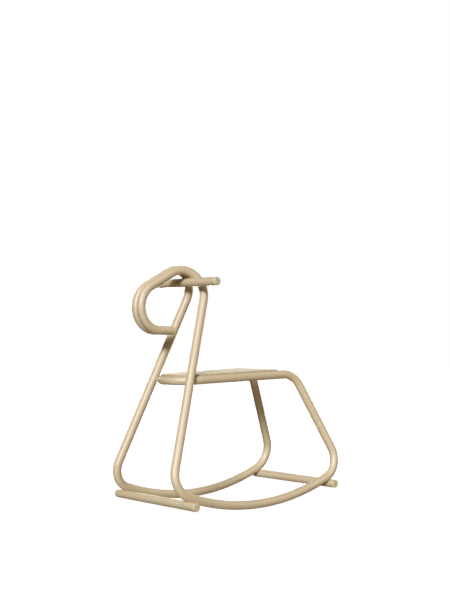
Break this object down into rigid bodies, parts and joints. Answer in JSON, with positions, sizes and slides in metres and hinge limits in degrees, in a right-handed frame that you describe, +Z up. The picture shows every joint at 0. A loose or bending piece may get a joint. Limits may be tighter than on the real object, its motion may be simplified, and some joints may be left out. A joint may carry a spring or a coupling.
{
  "type": "rocking horse",
  "caption": "Bentwood rocking horse: one line of round beech rod forms head loop, neck, runners, legs and seat hoop, with a thin plywood seat, a handlebar and cross bars.",
  "frame": {"origin": "on the floor, under the middle of the outline, 8 mm behind the lowest point of the runners", "axes": "+Z up, the horse faces -Y, its left side is +X, and X = 0 is its plane of symmetry"},
  "size_m": [0.42, 0.7384, 0.789],
  "materials": {
    "beech": "pale beech with a satin tinted lacquer",
    "seat_plywood": "beech plywood with the same satin lacquer, layered edge",
    "dowel_wood": "raw beech dowel",
    "steel": "zinc-plated steel"
  },
  "bodies": {
    "root": {"neck_rod_left": "beech", "runner_left": "beech", "neck_rod_right": "beech", "runner_right": "beech", "seat_hoop": "beech", "seat_panel": "seat_plywood", "handlebar": "beech", "handlebar_screw_left": "steel", "handlebar_screw_right": "steel", "front_stop_bar": "beech", "front_stop_bar_screw_left": "steel", "front_stop_bar_screw_right": "steel", "rear_stop_bar": "beech", "rear_stop_bar_screw_left": "steel", "rear_stop_bar_screw_right": "steel", "front_splice_dowel_left": "dowel_wood", "rear_splice_dowel_left": "dowel_wood", "seat_bolt_left": "steel", "seat_spacer_left": "beech", "seat_screw_left_front": "steel", "seat_screw_left_middle": "steel", "seat_screw_left_rear": "steel", "front_splice_dowel_right": "dowel_wood", "rear_splice_dowel_right": "dowel_wood", "seat_bolt_right": "steel", "seat_spacer_right": "beech", "seat_screw_right_front": "steel", "seat_screw_right_middle": "steel", "seat_screw_right_rear": "steel", "head_dowel_chin": "dowel_wood", "head_dowel_muzzle": "dowel_wood", "head_dowel_crown": "dowel_wood"}
  },
  "joints": []
}
